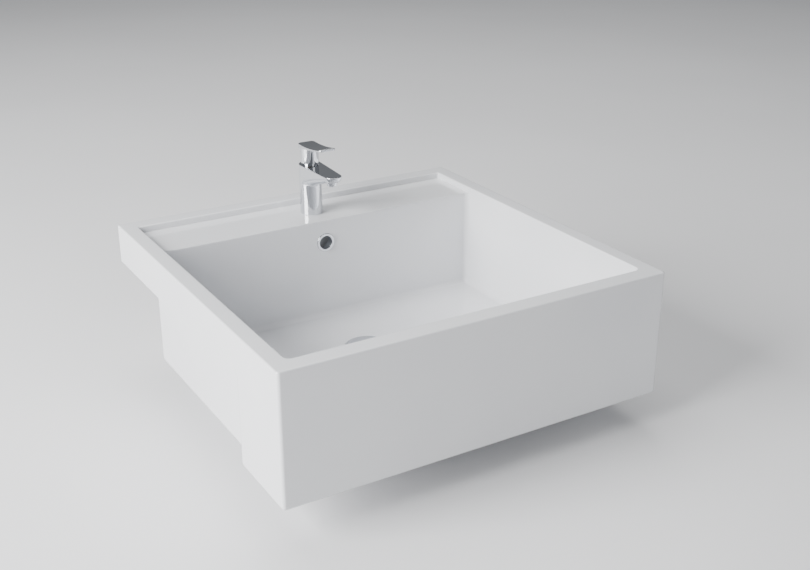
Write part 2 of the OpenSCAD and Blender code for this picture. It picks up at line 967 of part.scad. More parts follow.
module handle() {
    color("gainsboro")
        at_tap()
            difference() {
                union() {
                    disc(skirt_r, skirt_low_h, lever_top);
                    lever_plate();
                }
                translate([-lever_w, 0, lever_top + lever_top_r])
                    rotate([0, 90, 0])
                        cylinder(r = lever_top_r, h = 2 * lever_w, $fn = lever_top_fn);
                difference() {
                    disc(skirt_in_r, skirt_low_h - e, cavity_top_h);
                    disc(socket_r, socket_low_h, cavity_top_h + e);
                    translate([0, 0, screw_h])
                        rotate([-90, 0, 0])
                            cylinder(r = screw_boss_r, h = skirt_r);
                }
                spindle_socket();
                screw_bore();
                heel_cut();
            }
}

module handle_screw() {
    color("dimgray")
        at_tap()
            translate([0, spindle_w / 2, screw_h])
                rotate([-90, 0, 0])
                    difference() {
                        cylinder(r = screw_r, h = screw_len);
                        translate([0, 0, screw_len - screw_hex_deep])
                            cylinder(d = screw_hex_d, h = screw_hex_deep + e, $fn = 6);
                    }
}

module screw_cover() {
    color("crimson")
        at_tap()
            translate([0, cover_y, screw_h])
                rotate([-90, 0, 0])
                    cylinder(r = cover_r, h = cover_t);
}

basin();
overflow_ring();
waste_body();
waste_flange_seal();
waste_under_seal();
waste_backnut();
plug_cap();
plug_seal();
plug_stem();
click_body();
click_spring();
tap_body();
base_seal();
fixing_stud();
fixing_gasket();
fixing_washer();
fixing_nut();
aerator_collar();
aerator_insert();
aerator_washer();
cartridge_base();
port_seals();
cartridge_housing();
housing_seal();
fixed_disc();
moving_disc();
disc_carrier();
spindle_guide();
spindle_pin();
spindle();
retaining_nut();
handle();
handle_screw();
screw_cover();
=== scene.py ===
import json
import math

import bpy
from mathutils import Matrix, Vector


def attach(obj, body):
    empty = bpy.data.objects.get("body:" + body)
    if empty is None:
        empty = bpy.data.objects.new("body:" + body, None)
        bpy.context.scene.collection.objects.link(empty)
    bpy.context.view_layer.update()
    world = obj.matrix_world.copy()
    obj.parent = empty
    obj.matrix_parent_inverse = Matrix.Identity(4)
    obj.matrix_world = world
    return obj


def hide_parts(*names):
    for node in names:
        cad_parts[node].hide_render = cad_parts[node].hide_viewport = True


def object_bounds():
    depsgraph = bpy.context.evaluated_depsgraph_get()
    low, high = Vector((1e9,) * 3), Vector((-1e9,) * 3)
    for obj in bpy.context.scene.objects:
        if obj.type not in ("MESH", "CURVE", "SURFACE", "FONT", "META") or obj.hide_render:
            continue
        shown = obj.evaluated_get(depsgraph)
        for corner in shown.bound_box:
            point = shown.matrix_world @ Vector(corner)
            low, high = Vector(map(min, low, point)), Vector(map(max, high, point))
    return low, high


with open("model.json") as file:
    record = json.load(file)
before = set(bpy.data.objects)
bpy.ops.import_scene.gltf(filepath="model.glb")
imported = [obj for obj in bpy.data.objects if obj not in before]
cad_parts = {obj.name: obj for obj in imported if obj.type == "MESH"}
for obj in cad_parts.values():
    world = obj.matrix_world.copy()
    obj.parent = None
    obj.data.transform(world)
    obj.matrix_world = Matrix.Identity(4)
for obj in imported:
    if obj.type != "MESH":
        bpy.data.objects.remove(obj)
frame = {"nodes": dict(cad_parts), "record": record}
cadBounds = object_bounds()

mm = 0.001                   # lengths in the settings are millimetres
axisTap = Vector((0, -69, 49.5))      # foot of the tap on the ledge
axisWaste = Vector((0, -250, 0))


def deselectAll():
    if bpy.context.object and bpy.context.object.mode != "OBJECT":
        bpy.ops.object.mode_set(mode="OBJECT")
    bpy.ops.object.select_all(action="DESELECT")


def makeActive(obj):
    deselectAll()
    obj.select_set(True)
    bpy.context.view_layer.objects.active = obj


def addBlock(name, low, high):
    deselectAll()
    low, high = Vector(low) * mm, Vector(high) * mm
    bpy.ops.mesh.primitive_cube_add(size=1, location=(low + high) / 2, scale=high - low)
    obj = bpy.context.object
    obj.name = name
    bpy.ops.object.transform_apply(location=True, rotation=True, scale=True)
    return obj


def addPillar(name, radius, low, high, at=(0, 0), sides=96):
    deselectAll()
    bpy.ops.mesh.primitive_cylinder_add(
        vertices=sides, radius=radius * mm, depth=(high - low) * mm,
        location=(at[0] * mm, at[1] * mm, (low + high) / 2 * mm))
    obj = bpy.context.object
    obj.name = name
    bpy.ops.object.transform_apply(location=True, rotation=True, scale=True)
    return obj


# selects the edges whose two ends pass the test, in millimetres, and opens edit mode
def pickEdges(obj, test):
    makeActive(obj)
    bpy.context.tool_settings.mesh_select_mode = (False, True, False)
    mesh = obj.data
    mesh.polygons.foreach_set("select", [False] * len(mesh.polygons))
    mesh.vertices.foreach_set("select", [False] * len(mesh.vertices))
    for edge in mesh.edges:
        a, b = (mesh.vertices[i].co / mm for i in edge.vertices)
        edge.select = bool(test(a, b))
    bpy.ops.object.mode_set(mode="EDIT")


# selects the faces whose middle and normal pass the test, and opens edit mode
def pickFaces(obj, test):
    makeActive(obj)
    bpy.context.tool_settings.mesh_select_mode = (False, False, True)
    mesh = obj.data
    mesh.edges.foreach_set("select", [False] * len(mesh.edges))
    mesh.vertices.foreach_set("select", [False] * len(mesh.vertices))
    for face in mesh.polygons:
        face.select = bool(test(face.center / mm, face.normal))
    bpy.ops.object.mode_set(mode="EDIT")


def roundEdges(obj, test, radius, segments=5):
    pickEdges(obj, test)
    bpy.ops.mesh.bevel(offset=radius * mm, segments=segments, profile=0.5, affect="EDGES")
    bpy.ops.object.mode_set(mode="OBJECT")


def isUpright(a, b):
    return abs(a.x - b.x) < 0.01 and abs(a.y - b.y) < 0.01


def near(value, target, gap=0.05):
    return abs(value - target) < gap


# joins or cuts with other pieces, which are then gone
def combine(obj, operation, *others):
    for other in others:
        makeActive(obj)
        bpy.ops.object.modifier_add(type="BOOLEAN")
        modifier = obj.modifiers[-1]
        modifier.operation = operation
        modifier.object = other
        modifier.solver = "MANIFOLD"
        bpy.ops.object.modifier_apply(modifier=modifier.name)
        bpy.data.objects.remove(other, do_unlink=True)
    return obj


# turns an outline of (radius, height) points round an upright axis; a closed outline makes a ring
def turned(name, outline, at=(0, 0), steps=96, closed=False):
    deselectAll()
    start = Vector((at[0] + outline[0][0], at[1], outline[0][1])) * mm
    bpy.ops.mesh.primitive_plane_add(size=mm, location=start)
    obj = bpy.context.object
    obj.name = name
    bpy.ops.object.transform_apply(location=True, rotation=True, scale=True)
    bpy.context.tool_settings.mesh_select_mode = (True, False, False)
    bpy.ops.object.mode_set(mode="EDIT")
    bpy.ops.mesh.select_all(action="SELECT")
    bpy.ops.mesh.merge(type="CENTER")
    points = list(outline) + ([outline[0]] if closed else [])
    for before, after in zip(points, points[1:]):
        step = (after[0] - before[0], 0, after[1] - before[1])
        bpy.ops.mesh.extrude_region_move(TRANSFORM_OT_translate={"value": Vector(step) * mm})
    bpy.ops.mesh.select_all(action="SELECT")
    bpy.ops.mesh.remove_doubles(threshold=0.001 * mm)
    bpy.ops.mesh.spin(steps=steps, angle=2 * math.pi, center=(at[0] * mm, at[1] * mm, 0), axis=(0, 0, 1))
    bpy.ops.mesh.select_all(action="SELECT")
    bpy.ops.mesh.remove_doubles(threshold=0.002 * mm)
    bpy.ops.mesh.normals_make_consistent(inside=False)
    bpy.ops.object.mode_set(mode="OBJECT")
    return obj


# a quarter turn between two outline directions, as points of an outline
def arcPoints(centre, radius, fromDeg, toDeg, count=6):
    turns = [math.radians(fromDeg + (toDeg - fromDeg) * i / count) for i in range(count + 1)]
    return [(centre[0] + radius * math.cos(t), centre[1] + radius * math.sin(t)) for t in turns]


# rounds the edges where two faces meet more sharply than that many degrees
def roundSharp(obj, radius, segments=3, sharper=45):
    makeActive(obj)
    bpy.context.tool_settings.mesh_select_mode = (False, True, False)
    bpy.ops.object.mode_set(mode="EDIT")
    bpy.ops.mesh.select_all(action="DESELECT")
    bpy.ops.mesh.edges_select_sharp(sharpness=math.radians(sharper))
    bpy.ops.mesh.bevel(offset=radius * mm, segments=segments, profile=0.5, affect="EDGES")
    bpy.ops.object.mode_set(mode="OBJECT")


# takes out the doubled corners, slivers and flat seams that cutting leaves
def cleanCuts(obj):
    makeActive(obj)
    bpy.ops.object.mode_set(mode="EDIT")
    bpy.ops.mesh.select_all(action="SELECT")
    bpy.ops.mesh.remove_doubles(threshold=0.01 * mm)
    bpy.ops.mesh.dissolve_degenerate(threshold=0.01 * mm)
    bpy.ops.mesh.dissolve_limited(angle_limit=math.radians(0.03), use_dissolve_boundaries=False)
    bpy.ops.object.mode_set(mode="OBJECT")


# splits the faces with many corners, so that a renderer doesn't have to guess how
def splitLongFaces(obj):
    makeActive(obj)
    bpy.context.tool_settings.mesh_select_mode = (False, False, True)
    bpy.ops.object.mode_set(mode="EDIT")
    bpy.ops.mesh.select_all(action="DESELECT")
    bpy.ops.mesh.select_face_by_sides(number=4, type="GREATER")
    bpy.ops.mesh.quads_convert_to_tris(quad_method="BEAUTY", ngon_method="BEAUTY")
    bpy.ops.mesh.select_all(action="SELECT")
    bpy.ops.mesh.dissolve_degenerate(threshold=0.01 * mm)
    bpy.ops.mesh.normals_make_consistent(inside=False)
    bpy.ops.object.mode_set(mode="OBJECT")


# an outline whose heights are raised by z
def raised(outline, z):
    return [(radius, height + z) for radius, height in outline]


# turns a piece about its own origin, moves it there, and leaves it with its origin at the world's
def placeAt(obj, place, turnX=0.0, turnZ=0.0):
    makeActive(obj)
    obj.rotation_euler = (math.radians(turnX), 0, math.radians(turnZ))
    obj.location = Vector(place) * mm
    bpy.ops.object.transform_apply(location=True, rotation=True, scale=True)
    return obj


# the ridges of a thread seen in its outline, from one height down to another
def threadPoints(radius, high, low, pitch, depth):
    points, height = [], high
    while height - pitch > low:
        points += [(radius - depth, height - pitch * 0.12), (radius, height - pitch * 0.45),
                   (radius, height - pitch * 0.55), (radius - depth, height - pitch * 0.88)]
        height -= pitch
    return points


def finishPiece(obj, body, slotName, material, *nodes, angle=30, weighted=True):
    makeActive(obj)
    bpy.ops.object.shade_smooth_by_angle(angle=math.radians(angle))
    if weighted:
        bpy.ops.object.modifier_add(type="WEIGHTED_NORMAL")
        obj.modifiers[-1].keep_sharp = True
        bpy.ops.object.modifier_apply(modifier=obj.modifiers[-1].name)
    obj.data.materials.clear()
    obj.data.materials.append(material)
    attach(obj, body)
    if nodes:
        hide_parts(*nodes)
    return obj


# materials, each named for what the real one is

def linear(hexColour):       # sRGB hex to the linear colour that shaders take
    parts = [int(hexColour[i:i + 2], 16) / 255 for i in (1, 3, 5)]
    return [c / 12.92 if c <= 0.04045 else ((c + 0.055) / 1.055) ** 2.4 for c in parts] + [1]


def addNode(tree, kind, values=None, links=None, **properties):
    node = tree.nodes.new(kind)
    for name, value in properties.items():
        setattr(node, name, value)
    for name, value in (values or {}).items():
        node.inputs[name].default_value = value
    for name, output in (links or {}).items():
        tree.links.new(output, node.inputs[name])
    return node


# a Principled surface with its constants on its own sockets, and the tree to add patterns to
def startMaterial(name, colour, **values):
    material = bpy.data.materials.new(name)
    material.use_nodes = True
    tree = material.node_tree
    shader = tree.nodes["Principled BSDF"]
    shader.inputs["Base Color"].default_value = linear(colour)
    for key, value in values.items():
        shader.inputs[key.replace("_", " ")].default_value = value
    place = addNode(tree, "ShaderNodeTexCoord").outputs["Object"]
    return material, tree, shader, place


# a fine relief of grains of that size in millimetres, that high
def addRelief(tree, shader, place, grain, height, detail=2.0):
    noise = addNode(tree, "ShaderNodeTexNoise", {"Scale": 1 / (grain * mm), "Detail": detail},
                    {"Vector": place})
    bump = addNode(tree, "ShaderNodeBump", {"Strength": 1.0, "Distance": height * mm},
                   {"Height": noise.outputs["Fac"]})
    tree.links.new(bump.outputs["Normal"], shader.inputs["Normal"])


# roughness that drifts between two values over patches of that size in millimetres
def driftRoughness(tree, shader, place, patch, low, high):
    noise = addNode(tree, "ShaderNodeTexNoise", {"Scale": 1 / (patch * mm), "Detail": 3.0}, {"Vector": place})
    span = addNode(tree, "ShaderNodeMapRange",
                   {"From Min": 0.3, "From Max": 0.7, "To Min": low, "To Max": high},
                   {"Value": noise.outputs["Fac"]})
    tree.links.new(span.outputs["Result"], shader.inputs["Roughness"])


def driftColour(tree, shader, place, patch, first, second):
    noise = addNode(tree, "ShaderNodeTexNoise", {"Scale": 1 / (patch * mm), "Detail": 3.0}, {"Vector": place})
    ramp = addNode(tree, "ShaderNodeValToRGB", links={"Fac": noise.outputs["Fac"]})
    ramp.color_ramp.elements[0].position = 0.35
    ramp.color_ramp.elements[0].color = linear(first)
    ramp.color_ramp.elements[1].position = 0.65
    ramp.color_ramp.elements[1].color = linear(second)
    tree.links.new(ramp.outputs["Color"], shader.inputs["Base Color"])


# vitreous china, sprayed with white glaze and fired: a clear wet gloss over a very slightly wavy skin
def makeGlaze():
    material, tree, shader, place = startMaterial("vitreousChina", "#E7E8EB", IOR=1.52, Coat_Weight=0.35,
                                                  Coat_Roughness=0.03)
    driftColour(tree, shader, place, 160, "#E5E6E9", "#E9EAEC")
    driftRoughness(tree, shader, place, 55, 0.10, 0.17)
    addRelief(tree, shader, place, 26, 0.05, 1.0)
    return material


# brass, polished and plated with bright chrome: a cold mirror with a trace of polishing ripple
def makeChrome():
    material, tree, shader, place = startMaterial("brightChrome", "#DADCE0", Metallic=1.0)
    driftRoughness(tree, shader, place, 14, 0.03, 0.075)
    addRelief(tree, shader, place, 7, 0.002, 1.0)
    return material


# plated nut, turned and left satin: broader highlights than the polished pieces
def makeSatinChrome():
    material, tree, shader, place = startMaterial("satinChrome", "#BFC1C5", Metallic=1.0)
    driftRoughness(tree, shader, place, 6, 0.2, 0.3)
    addRelief(tree, shader, place, 0.8, 0.006)
    return material


# zinc-plated steel, rolled and cut: a greyish, slightly mottled metal
def makeZincSteel():
    material, tree, shader, place = startMaterial("zincSteel", "#B4B7BA", Metallic=1.0)
    driftColour(tree, shader, place, 5, "#A9ACB0", "#BFC1C3")
    driftRoughness(tree, shader, place, 3, 0.28, 0.42)
    addRelief(tree, shader, place, 0.7, 0.01)
    return material


# brass, turned on a lathe: warm metal with shallow tool rings round the upright axis
def makeTurnedBrass():
    material, tree, shader, place = startMaterial("turnedBrass", "#C9A45C", Metallic=1.0)
    driftRoughness(tree, shader, place, 4, 0.22, 0.34)
    ringSpacing = math.pi * mm
    waveRate = 20                # the wave's sine runs this many times its scale
    waveScale = 2 * math.pi / waveRate / ringSpacing
    rings = addNode(tree, "ShaderNodeTexWave", {"Scale": waveScale, "Distortion": 0.6},
                    {"Vector": place}, bands_direction="Z")
    bump = addNode(tree, "ShaderNodeBump", {"Strength": 1.0, "Distance": 0.01 * mm},
                   {"Height": rings.outputs["Fac"]})
    tree.links.new(bump.outputs["Normal"], shader.inputs["Normal"])
    return material


# EPDM rubber, moulded: a soft black with a dusty bloom
def makeRubber():
    material, tree, shader, place = startMaterial("epdmRubber", "#1D1D1E", IOR=1.5, Sheen_Weight=0.15)
    driftColour(tree, shader, place, 4, "#19191A", "#252526")
    driftRoughness(tree, shader, place, 5, 0.6, 0.8)
    addRelief(tree, shader, place, 0.6, 0.02)
    return material


# acetal, moulded white: dense, faintly waxy plastic
def makeAcetal():
    material, tree, shader, place = startMaterial("whiteAcetal", "#E4E3DD", IOR=1.48, Subsurface_Weight=0.08,
                                                  Subsurface_Scale=0.0015)
    driftRoughness(tree, shader, place, 5, 0.34, 0.46)
    addRelief(tree, shader, place, 0.5, 0.006)
    return material


# sintered alumina, lapped flat: an ivory ceramic with a silky face
def makeAlumina():
    material, tree, shader, place = startMaterial("lappedAlumina", "#EFEAE0", IOR=1.76)
    driftColour(tree, shader, place, 2, "#ECE7DC", "#F2EEE6")
    driftRoughness(tree, shader, place, 3, 0.16, 0.26)
    return material


# ABS, moulded red: the little cover of the handle's screw
def makeRedPlastic():
    material, tree, shader, place = startMaterial("redAbs", "#A3161C", IOR=1.54, Coat_Weight=0.2)
    driftRoughness(tree, shader, place, 3, 0.22, 0.32)
    addRelief(tree, shader, place, 0.6, 0.004)
    return material


materials = {
    "glaze": makeGlaze(), "chrome": makeChrome(), "chrome_dull": makeSatinChrome(),
    "steel": makeZincSteel(), "brass": makeTurnedBrass(), "rubber": makeRubber(),
    "white_plastic": makeAcetal(), "alumina": makeAlumina(), "indicator": makeRedPlastic()}
print("materials made")

# the basin

basinSet = {
    "halfWidth": 300, "front": -579, "back": 7, "rim": 59.5, "apronLow": -131.5, "apronBack": -452,
    "bowlHalf": 274.5, "bowlFront": -551, "bowlBack": -116.5, "floor": -115,
    "bowlCorner": 8, "bowlFillet": 7.5,      # the fillet stays smaller, or the corners fold over
    "ledge": 49.5, "ledgeBack": -21.5, "ledgeCorner": 3, "deckUnder": 36.5,
    "shellHalf": 285.5, "shellBack": -105.5, "shellCorner": 19, "shellFillet": 12, "restFront": -7,
    "cornerRound": 5, "edgeRound": 2.6, "apronRound": 4.5, "glazeRound": 3,
    "dishRadius": 125, "seatRadius": 34.8, "drain": -118, "seat": -123, "wasteHole": 22.95,
    "bossRadius": 44, "bossLow": -146, "casingHalf": 29, "casingBack": -88.5, "casingTop": 31,
    "ductHalf": 22, "ductBack": -95.5, "ductTop": 27, "ductHigh": -126, "ductLow": -137,
    "overflow": 12, "overflowRadius": 13, "tapHole": 15}


def buildBasin(s):
    basin = addBlock("basin_glazed", (-s["halfWidth"], s["front"], 0), (s["halfWidth"], s["back"], s["rim"]))
    # the slab is split behind the apron, and the apron is drawn down from its front part
    makeActive(basin)
    bpy.ops.object.mode_set(mode="EDIT")
    bpy.ops.mesh.select_all(action="SELECT")
    bpy.ops.mesh.bisect(plane_co=(0, s["apronBack"] * mm, 0), plane_no=(0, 1, 0))
    pickFaces(basin, lambda c, n: n.z < -0.9 and c.y < s["apronBack"])
    bpy.ops.mesh.extrude_region_move(TRANSFORM_OT_translate={"value": (0, 0, s["apronLow"] * mm)})
    bpy.ops.object.mode_set(mode="OBJECT")
    roundEdges(basin, lambda a, b: isUpright(a, b) and (not near(a.y, s["apronBack"]) or max(a.z, b.z) < 1),
               s["cornerRound"])
    roundEdges(basin, lambda a, b: near(a.z, s["apronLow"]) and near(b.z, s["apronLow"]), s["apronRound"])
    pocket = addBlock("pocket", (-s["shellHalf"], s["shellBack"], -20),
                      (s["shellHalf"], s["restFront"], s["deckUnder"]))
    roundEdges(pocket, isUpright, s["glazeRound"], 3)
    combine(basin, "DIFFERENCE", pocket)

    shell = addBlock("shell", (-s["shellHalf"], s["bowlFront"], s["apronLow"] + 0.4),
                     (s["shellHalf"], s["shellBack"], s["ledge"] - 1))
    roundEdges(shell, isUpright, s["shellCorner"], 10)
    roundEdges(shell, lambda a, b: max(a.z, b.z) < s["apronLow"] + 1, s["shellFillet"], 6)
    casing = addBlock("casing", (-s["casingHalf"], s["shellBack"] - 2, s["bossLow"]),
                      (s["casingHalf"], s["casingBack"], s["casingTop"]))
    runner = addBlock("runner", (-s["casingHalf"], axisWaste.y, s["bossLow"]),
                      (s["casingHalf"], s["casingBack"], s["apronLow"] + 4))
    combine(casing, "UNION", runner)
    boss = addPillar("boss", s["bossRadius"], s["bossLow"], s["apronLow"] + 4, (0, axisWaste.y))
    combine(basin, "UNION", shell, casing, boss)

    bowl = addBlock("bowl", (-s["bowlHalf"], s["bowlFront"], s["floor"]), (s["bowlHalf"], s["bowlBack"], 90))
    roundEdges(bowl, isUpright, s["bowlCorner"], 8)
    roundEdges(bowl, lambda a, b: near(a.z, s["floor"]) and near(b.z, s["floor"]), s["bowlFillet"], 8)
    recess = addBlock("recess", (-s["bowlHalf"], s["bowlBack"] - s["bowlCorner"] - 2, s["ledge"]),
                      (s["bowlHalf"], s["ledgeBack"], 90))
    roundEdges(recess, lambda a, b: isUpright(a, b) and near(a.y, s["ledgeBack"]), s["ledgeCorner"], 4)
    combine(bowl, "UNION", recess)
    dishLow, dishTop = s["bossLow"] - 9, s["floor"] + 1
    dishOutline = [(0, dishLow), (s["wasteHole"], dishLow), (s["wasteHole"], s["seat"]),
                   (s["seatRadius"], s["seat"]), (s["seatRadius"], s["drain"]),
                   (s["dishRadius"], s["floor"]), (s["dishRadius"], dishTop), (0, dishTop)]
    dish = turned("dish", dishOutline, (0, axisWaste.y), 128)
    upright = addBlock("upright", (-s["ductHalf"], s["shellBack"], s["ductLow"]),
                       (s["ductHalf"], s["ductBack"], s["ductTop"]))
    level = addBlock("level", (-s["ductHalf"], axisWaste.y, s["ductLow"]),
                     (s["ductHalf"], s["ductBack"], s["ductHigh"]))
    combine(upright, "UNION", level)
    deselectAll()
    bpy.ops.mesh.primitive_cylinder_add(
        vertices=96, radius=s["overflowRadius"] * mm, depth=30 * mm, rotation=(math.pi / 2, 0, 0),
        location=(0, (s["bowlBack"] + s["shellBack"]) / 2 * mm, s["overflow"] * mm))
    overflowCut = bpy.context.object
    bpy.ops.object.transform_apply(location=True, rotation=True, scale=True)
    combine(basin, "DIFFERENCE", bowl, dish, upright, overflowCut,
            addPillar("tapHole", s["tapHole"], s["deckUnder"] - 5, s["ledge"] + 5, (0, axisTap.y)))
    cleanCuts(basin)
    # the flat floor and the dish meet in one plane, to the last decimal
    for vertex in basin.data.vertices:
        if near(vertex.co.z / mm, s["floor"]):
            vertex.co.z = s["floor"] * mm
    print("basin cut,", len(basin.data.polygons), "faces")

    def onRim(a, b):
        return near(a.z, s["rim"]) and near(b.z, s["rim"])

    def onLedgeFront(a, b):
        return (near(a.z, s["ledge"]) and near(b.z, s["ledge"]) and near(a.y, s["bowlBack"])
                and near(b.y, s["bowlBack"]))

    roundEdges(basin, onRim, s["edgeRound"], 5)
    roundEdges(basin, onLedgeFront, s["edgeRound"], 5)
    splitLongFaces(basin)
    return finishPiece(basin, "fixed", "glaze", materials["glaze"], "basin", angle=32)


basin = buildBasin(basinSet)
print("basin done,", len(basin.data.polygons), "faces")

# the overflow's ring, turned and plated, with its sleeve in the wall
ringSet = {"bore": 11, "outer": 15.3, "sleeve": 12.8, "proud": 2.2, "edge": 0.9, "boreEdge": 0.5, "long": 11}


def buildOverflowRing(s):
    inner = (s["bore"] + s["boreEdge"], s["boreEdge"] - s["proud"])
    outer = (s["outer"] - s["edge"], s["edge"] - s["proud"])
    outline = ([(s["bore"], s["long"])]
               + arcPoints(inner, s["boreEdge"], 180, 270, 4)
               + arcPoints(outer, s["edge"], 270, 360, 6)
               + [(s["outer"], 0), (s["sleeve"], 0), (s["sleeve"], s["long"])])
    ring = turned("overflow_ring_turned", outline, closed=True)
    placeAt(ring, (0, basinSet["bowlBack"], basinSet["overflow"]), turnX=-90)
    return finishPiece(ring, "fixed", "chrome", materials["chrome"], "overflow_ring", angle=40)


buildOverflowRing(ringSet)

# the waste: a flange, a threaded tail with four slots, and a spider that carries the click
wasteSet = {
    "flange": 34, "lip": 31.6, "top": -116.5, "low": -122, "edge": 1.1, "seat": -119.5,
    "bore": 18.555, "bevel": 2,
    "tail": 20.955, "groove": -158, "grooveWide": 1.5, "grooveDeep": 0.6, "end": -185, "pitch": 2.309,
    "threadDeep": 1.1, "slotHigh": -127, "slotLow": -137, "slotWide": 12,
    "spiderLow": -150, "spiderHigh": -146, "spiderWide": 5, "clickBoss": 6.5, "clickBore": 4.05}


def buildWaste(s):
    plain = [(s["tail"], s["groove"]), (s["tail"], s["low"]), (s["flange"] - 0.2, s["low"]),
             (s["flange"], s["low"] + 0.2)]
    rim = (arcPoints((s["flange"] - s["edge"], s["top"] - s["edge"]), s["edge"], 0, 90, 6)
           + arcPoints((s["lip"] + 0.4, s["top"] - 0.4), 0.4, 90, 180, 3)
           + arcPoints((s["lip"] - 0.4, s["seat"] + 0.4), 0.4, 0, -90, 3))
    inside = [(s["bore"] + s["bevel"], s["seat"]), (s["bore"], s["seat"] - s["bevel"]),
              (s["bore"], s["end"] + 0.4), (s["bore"] + 0.4, s["end"])]
    threadTop = s["groove"] - s["grooveWide"]
    thread = threadPoints(s["tail"], threadTop, s["end"] + 0.8, s["pitch"], s["threadDeep"])
    outside = ([(s["tail"] - 0.8, s["end"]), (s["tail"] - 0.8, s["end"] + 0.3)] + thread[::-1]
               + [(s["tail"] - s["grooveDeep"], threadTop), (s["tail"] - s["grooveDeep"], s["groove"])])
    waste = turned("waste_turned", outside + plain + rim + inside, (0, axisWaste.y), 128, closed=True)
    for turn in (45, 135):
        slot = addBlock("slot", (-s["flange"], -s["slotWide"] / 2, s["slotLow"]),
                        (s["flange"], s["slotWide"] / 2, s["slotHigh"]))
        roundEdges(slot, lambda a, b: near(a.y, b.y) and near(a.z, b.z), 1.5, 4)
        combine(waste, "DIFFERENCE", placeAt(slot, (0, axisWaste.y, 0), turnZ=turn))
    half = s["bore"] + 1.2
    spider = addBlock("spider", (-half, axisWaste.y - s["spiderWide"] / 2, s["spiderLow"]),
                      (half, axisWaste.y + s["spiderWide"] / 2, s["spiderHigh"]))
    combine(spider, "UNION", addPillar("clickBoss", s["clickBoss"], s["spiderLow"], s["spiderHigh"],
                                       (0, axisWaste.y), 64))
    clickBore = addPillar("clickBore", s["clickBore"], s["spiderLow"] - 2, s["spiderHigh"] + 2,
                          (0, axisWaste.y), 48)
    combine(spider, "DIFFERENCE", clickBore)
    combine(waste, "UNION", spider)
    return finishPiece(waste, "fixed", "chrome", materials["chrome"], "waste_body", angle=35)


buildWaste(wasteSet)

# the plug: a pressed cap with a low dome and a rolled edge
plugSet = {"radius": 30.8, "low": -117.5, "edge": 2.2, "dome": 3.3, "roll": 0.9, "lowRoll": 0.5, "steps": 16}


def buildPlugCap(s):
    ball = (s["radius"] ** 2 + s["dome"] ** 2) / (2 * s["dome"])
    centre = s["low"] + s["edge"] + s["dome"] - ball
    start = s["radius"] - s["roll"]
    lift = centre + math.sqrt(ball ** 2 - start ** 2)
    rolled = [(s["radius"] - s["roll"] * (1 - math.cos(t)), lift - s["roll"] * (1 - math.sin(t)))
              for t in (math.radians(15 * i) for i in range(6))]
    domeRadii = [start * (1 - i / s["steps"]) for i in range(s["steps"] + 1)]
    dome = [(radius, centre + math.sqrt(ball ** 2 - radius ** 2)) for radius in domeRadii]
    outline = ([(0, s["low"])]
               + arcPoints((s["radius"] - s["lowRoll"], s["low"] + s["lowRoll"]), s["lowRoll"], -90, 0, 4)
               + rolled + dome)
    cap = turned("plug_cap_pressed", outline, (0, axisWaste.y), 128)
    return finishPiece(cap, "plug", "chrome", materials["chrome"], "plug_cap", angle=40)


buildPlugCap(plugSet)

sealSet = {"outer": 29.5, "inner": 25, "low": -119.5, "high": -117.5, "round": 0.7}


def buildPlugSeal(s):
    r = s["round"]
    outline = (arcPoints((s["outer"] - r, s["low"] + r), r, -90, 0, 4)
               + [(s["outer"] - 0.1, s["high"]), (s["inner"] + 0.1, s["high"])]
               + arcPoints((s["inner"] + r, s["low"] + r), r, 180, 270, 4))
    seal = turned("plug_seal_moulded", outline, (0, axisWaste.y), 96, closed=True)
    return finishPiece(seal, "plug", "rubber", materials["rubber"], "plug_seal", angle=50)


buildPlugSeal(sealSet)


# a nut: six flats, both faces chamfered by a cone, and its bore
def buildNut(name, s, slotName, *nodes):
    corner = s["flats"] / 2 / math.cos(math.pi / 6)
    nut = addPillar(name, corner, s["low"], s["high"], s["at"], 6)
    chamfer = corner - s["flats"] / 2
    low, high, drop = s["low"], s["high"], chamfer * 0.6
    cone = turned("cone", [(0, low), (s["flats"] / 2 - 0.1, low), (corner + 0.1, low + drop),
                           (corner + 0.1, high - drop), (s["flats"] / 2 - 0.1, high), (0, high)], s["at"], 96)
    combine(nut, "INTERSECT", cone)
    flare = s["flare"]
    bore = turned("bore", [(0, low - 1), (s["bore"] + flare, low - 1), (s["bore"] + flare, low),
                           (s["bore"], low + flare), (s["bore"], high - flare), (s["bore"] + flare, high),
                           (s["bore"] + flare, high + 1), (0, high + 1)], s["at"], 96)
    combine(nut, "DIFFERENCE", bore)
    return finishPiece(nut, "fixed", slotName, materials[slotName], *nodes, angle=25)


backnutSet = {"flats": 53.91, "low": -158, "high": -149, "bore": 21.005, "flare": 0.8, "at": (0, axisWaste.y)}
buildNut("waste_backnut_milled", backnutSet, "chrome_dull", "waste_backnut")
print("overflow and waste done")

# the mixer's body: a column and a spout cast in one, polished and plated
tapSet = {
    "column": 18, "top": 82.5, "root": 50, "keelRise": 0.357, "keelLevel": 70.8, "rootBlend": 3.5,
    "noseReach": 78.5, "noseRadius": 14, "bellyDeep": 14.5, "bellyFall": 0.125, "bellyLeast": 8.6,
    "baseEdge": 0.7, "topEdge": 0.7, "noseStep": 8, "widestStep": 4,
    "outletReach": 75.5, "outlet": 70.5, "boss": 9.5, "bossTop": 77, "bossEdge": 0.5, "collarRoom": 8.4,
    "collarThread": 7.55, "washerTop": 75.7, "chamber": 6, "chamberTop": 79.7,
    "seat": 57, "seatRadius": 12.6, "nutSeat": 74.2, "nutThread": 14.05,
    "spigot": 14.4, "spigotDeep": 5, "inletX": 7.2, "inletY": -4, "inletRadius": 4.5, "inletTop": 7,
    "studY": 10, "studRadius": 4.05, "sealIn": 15.55, "sealOut": 17.05, "sealDeep": 1.3}


